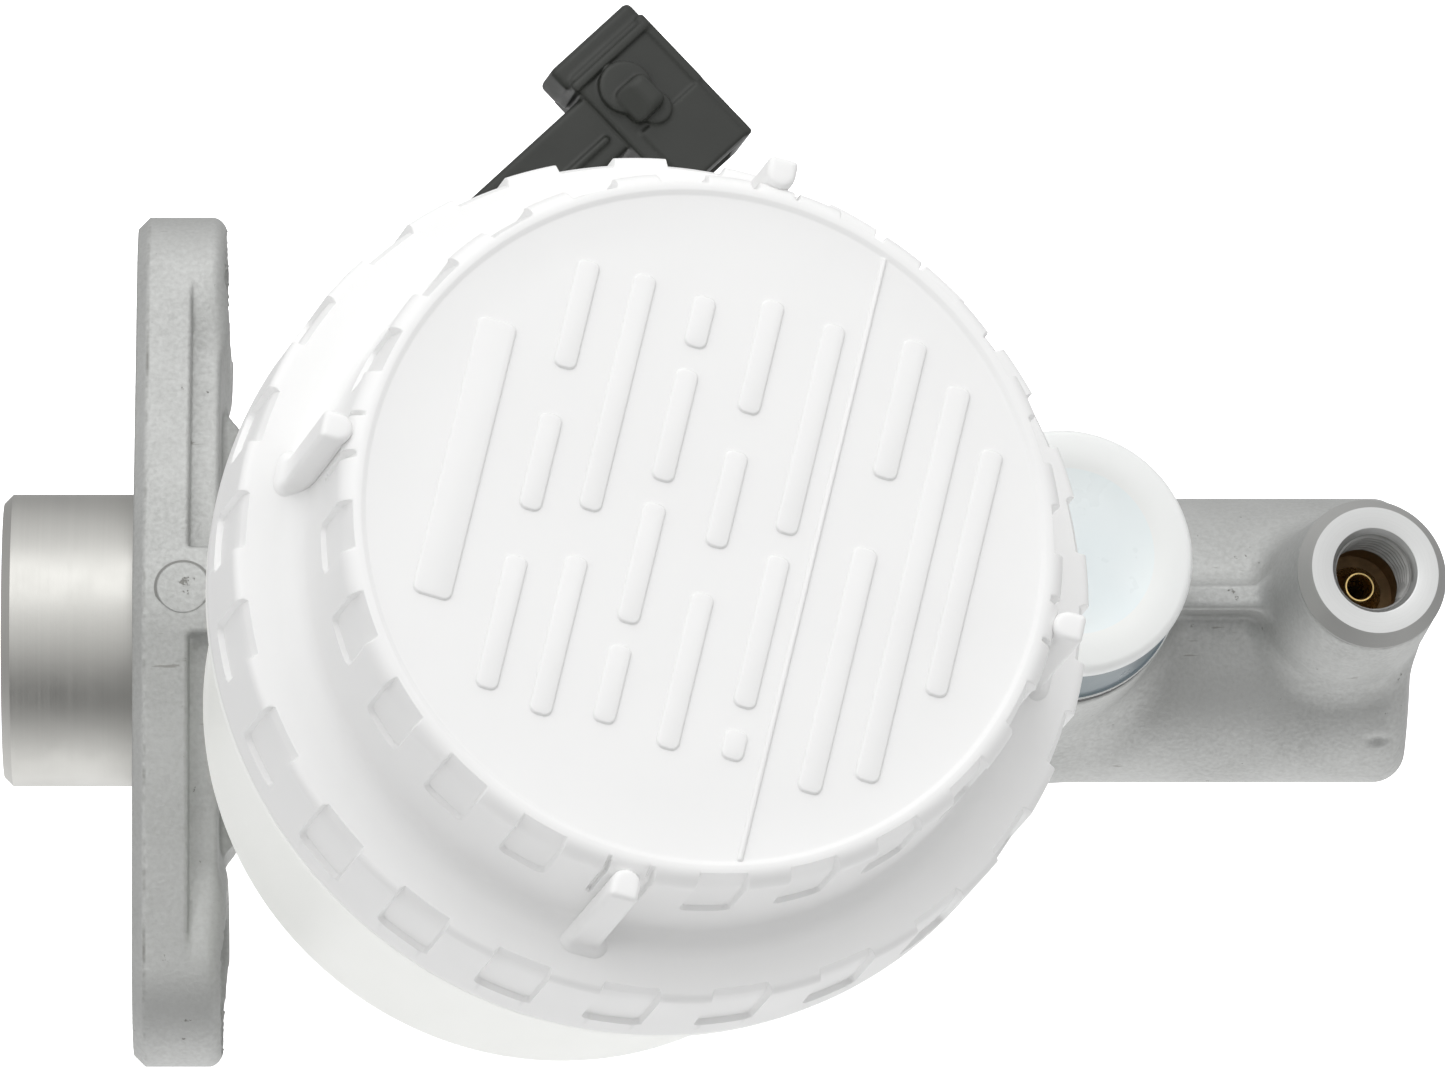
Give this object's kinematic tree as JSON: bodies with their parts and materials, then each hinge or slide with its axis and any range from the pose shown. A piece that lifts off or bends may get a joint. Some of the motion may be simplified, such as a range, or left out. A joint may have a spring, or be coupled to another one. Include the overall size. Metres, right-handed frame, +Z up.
{
  "type": "brake master cylinder",
  "caption": "Cast tandem brake master cylinder with a two-ear flange, round translucent reservoir, stepped screw cap, level switch and threaded outlets.",
  "frame": {"origin": "on the cylinder bore's axis at the rear face of the flange, midway between the booster studs", "axes": "+X along the bore to its closed front end, +Y along the flange's long side towards the rear outlet, +Z up towards the reservoir"},
  "size_m": [0.1755, 0.1408, 0.1553],
  "materials": {
    "cast_aluminium": "fine sand-cast texture with machined faces",
    "tube_brass": "machined brass",
    "zinc_steel": "zinc plated steel",
    "copper_gasket": "soft copper washer",
    "spring_steel": "oiled spring wire",
    "piston_alloy": "anodised, turned",
    "seal_rubber": "smooth moulded rubber",
    "tank_plastic": "translucent moulded polypropylene",
    "cap_plastic": "white moulded plastic, satin",
    "strainer_plastic": "moulded nylon mesh",
    "float_foam": "closed-cell foam",
    "magnet": "sintered magnet",
    "switch_plastic": "dark grey moulded plastic, satin",
    "terminal_brass": "tinned brass blade",
    "reed_glass": "sealed glass tube"
  },
  "bodies": {
    "body_and_tank": {"cylinder_body": "cast_aluminium", "mounting_flange": "cast_aluminium", "pilot_spigot": "cast_aluminium", "front_tube_seat": "tube_brass", "rear_tube_seat": "tube_brass", "stop_screw": "zinc_steel", "stop_screw_gasket": "copper_gasket", "stop_washer": "zinc_steel", "snap_ring": "spring_steel", "front_grommet": "seal_rubber", "rear_grommet": "seal_rubber", "reservoir_tank": "tank_plastic", "front_cup": "tank_plastic", "retaining_pin": "spring_steel", "strainer": "strainer_plastic", "float_guide": "tank_plastic", "float_clip": "zinc_steel", "level_switch": "switch_plastic", "switch_terminals": "terminal_brass", "reed_switch": "reed_glass"},
    "primary": {"primary_piston": "piston_alloy", "primary_rear_cup": "seal_rubber", "primary_front_cup": "seal_rubber", "primary_spring_seat": "zinc_steel", "primary_spring": "spring_steel", "retainer_bolt": "zinc_steel"},
    "secondary": {"spring_sleeve": "zinc_steel", "secondary_piston": "piston_alloy", "secondary_rear_cup": "seal_rubber", "secondary_front_cup": "seal_rubber", "secondary_spring_seat": "zinc_steel", "secondary_spring": "spring_steel"},
    "cap_lift": {"cap_diaphragm": "seal_rubber", "diaphragm_ring": "cap_plastic"},
    "cap": {"reservoir_cap": "cap_plastic"},
    "float": {"level_float": "float_foam", "float_magnet": "magnet"}
  },
  "joints": [
    {"name": "primary_slide", "type": "slide", "parent": "body_and_tank", "child": "primary", "axis": [1, 0, 0], "range_m": [0, 0.028], "stiffness_N_per_m": 1500, "springref_m": -0.03, "deforming": ["primary_spring"]},
    {"name": "secondary_slide", "type": "slide", "parent": "body_and_tank", "child": "secondary", "axis": [1, 0, 0], "range_m": [0, 0.014], "stiffness_N_per_m": 1500, "springref_m": -0.03, "deforming": ["secondary_spring"]},
    {"name": "cap_lift_slide", "type": "slide", "parent": "body_and_tank", "child": "cap_lift", "axis": [0.2198, 0, 0.9755], "range_m": [0, 0.009]},
    {"name": "cap_turn", "type": "hinge", "parent": "cap_lift", "child": "cap", "pos_m": [0.0426, -0.0199, 0], "axis": [0.2198, 0, 0.9755], "range_deg": [0, 540]},
    {"name": "float_slide", "type": "slide", "parent": "body_and_tank", "child": "float", "axis": [0.2198, 0, 0.9755], "range_m": [0, 0.014]}
  ],
  "couplings": [
    {"joint": "secondary_slide", "follows": "primary_slide", "ratio": 0.5},
    {"joint": "cap_lift_slide", "follows": "cap_turn", "m_per_rad": 0.00095492}
  ]
}
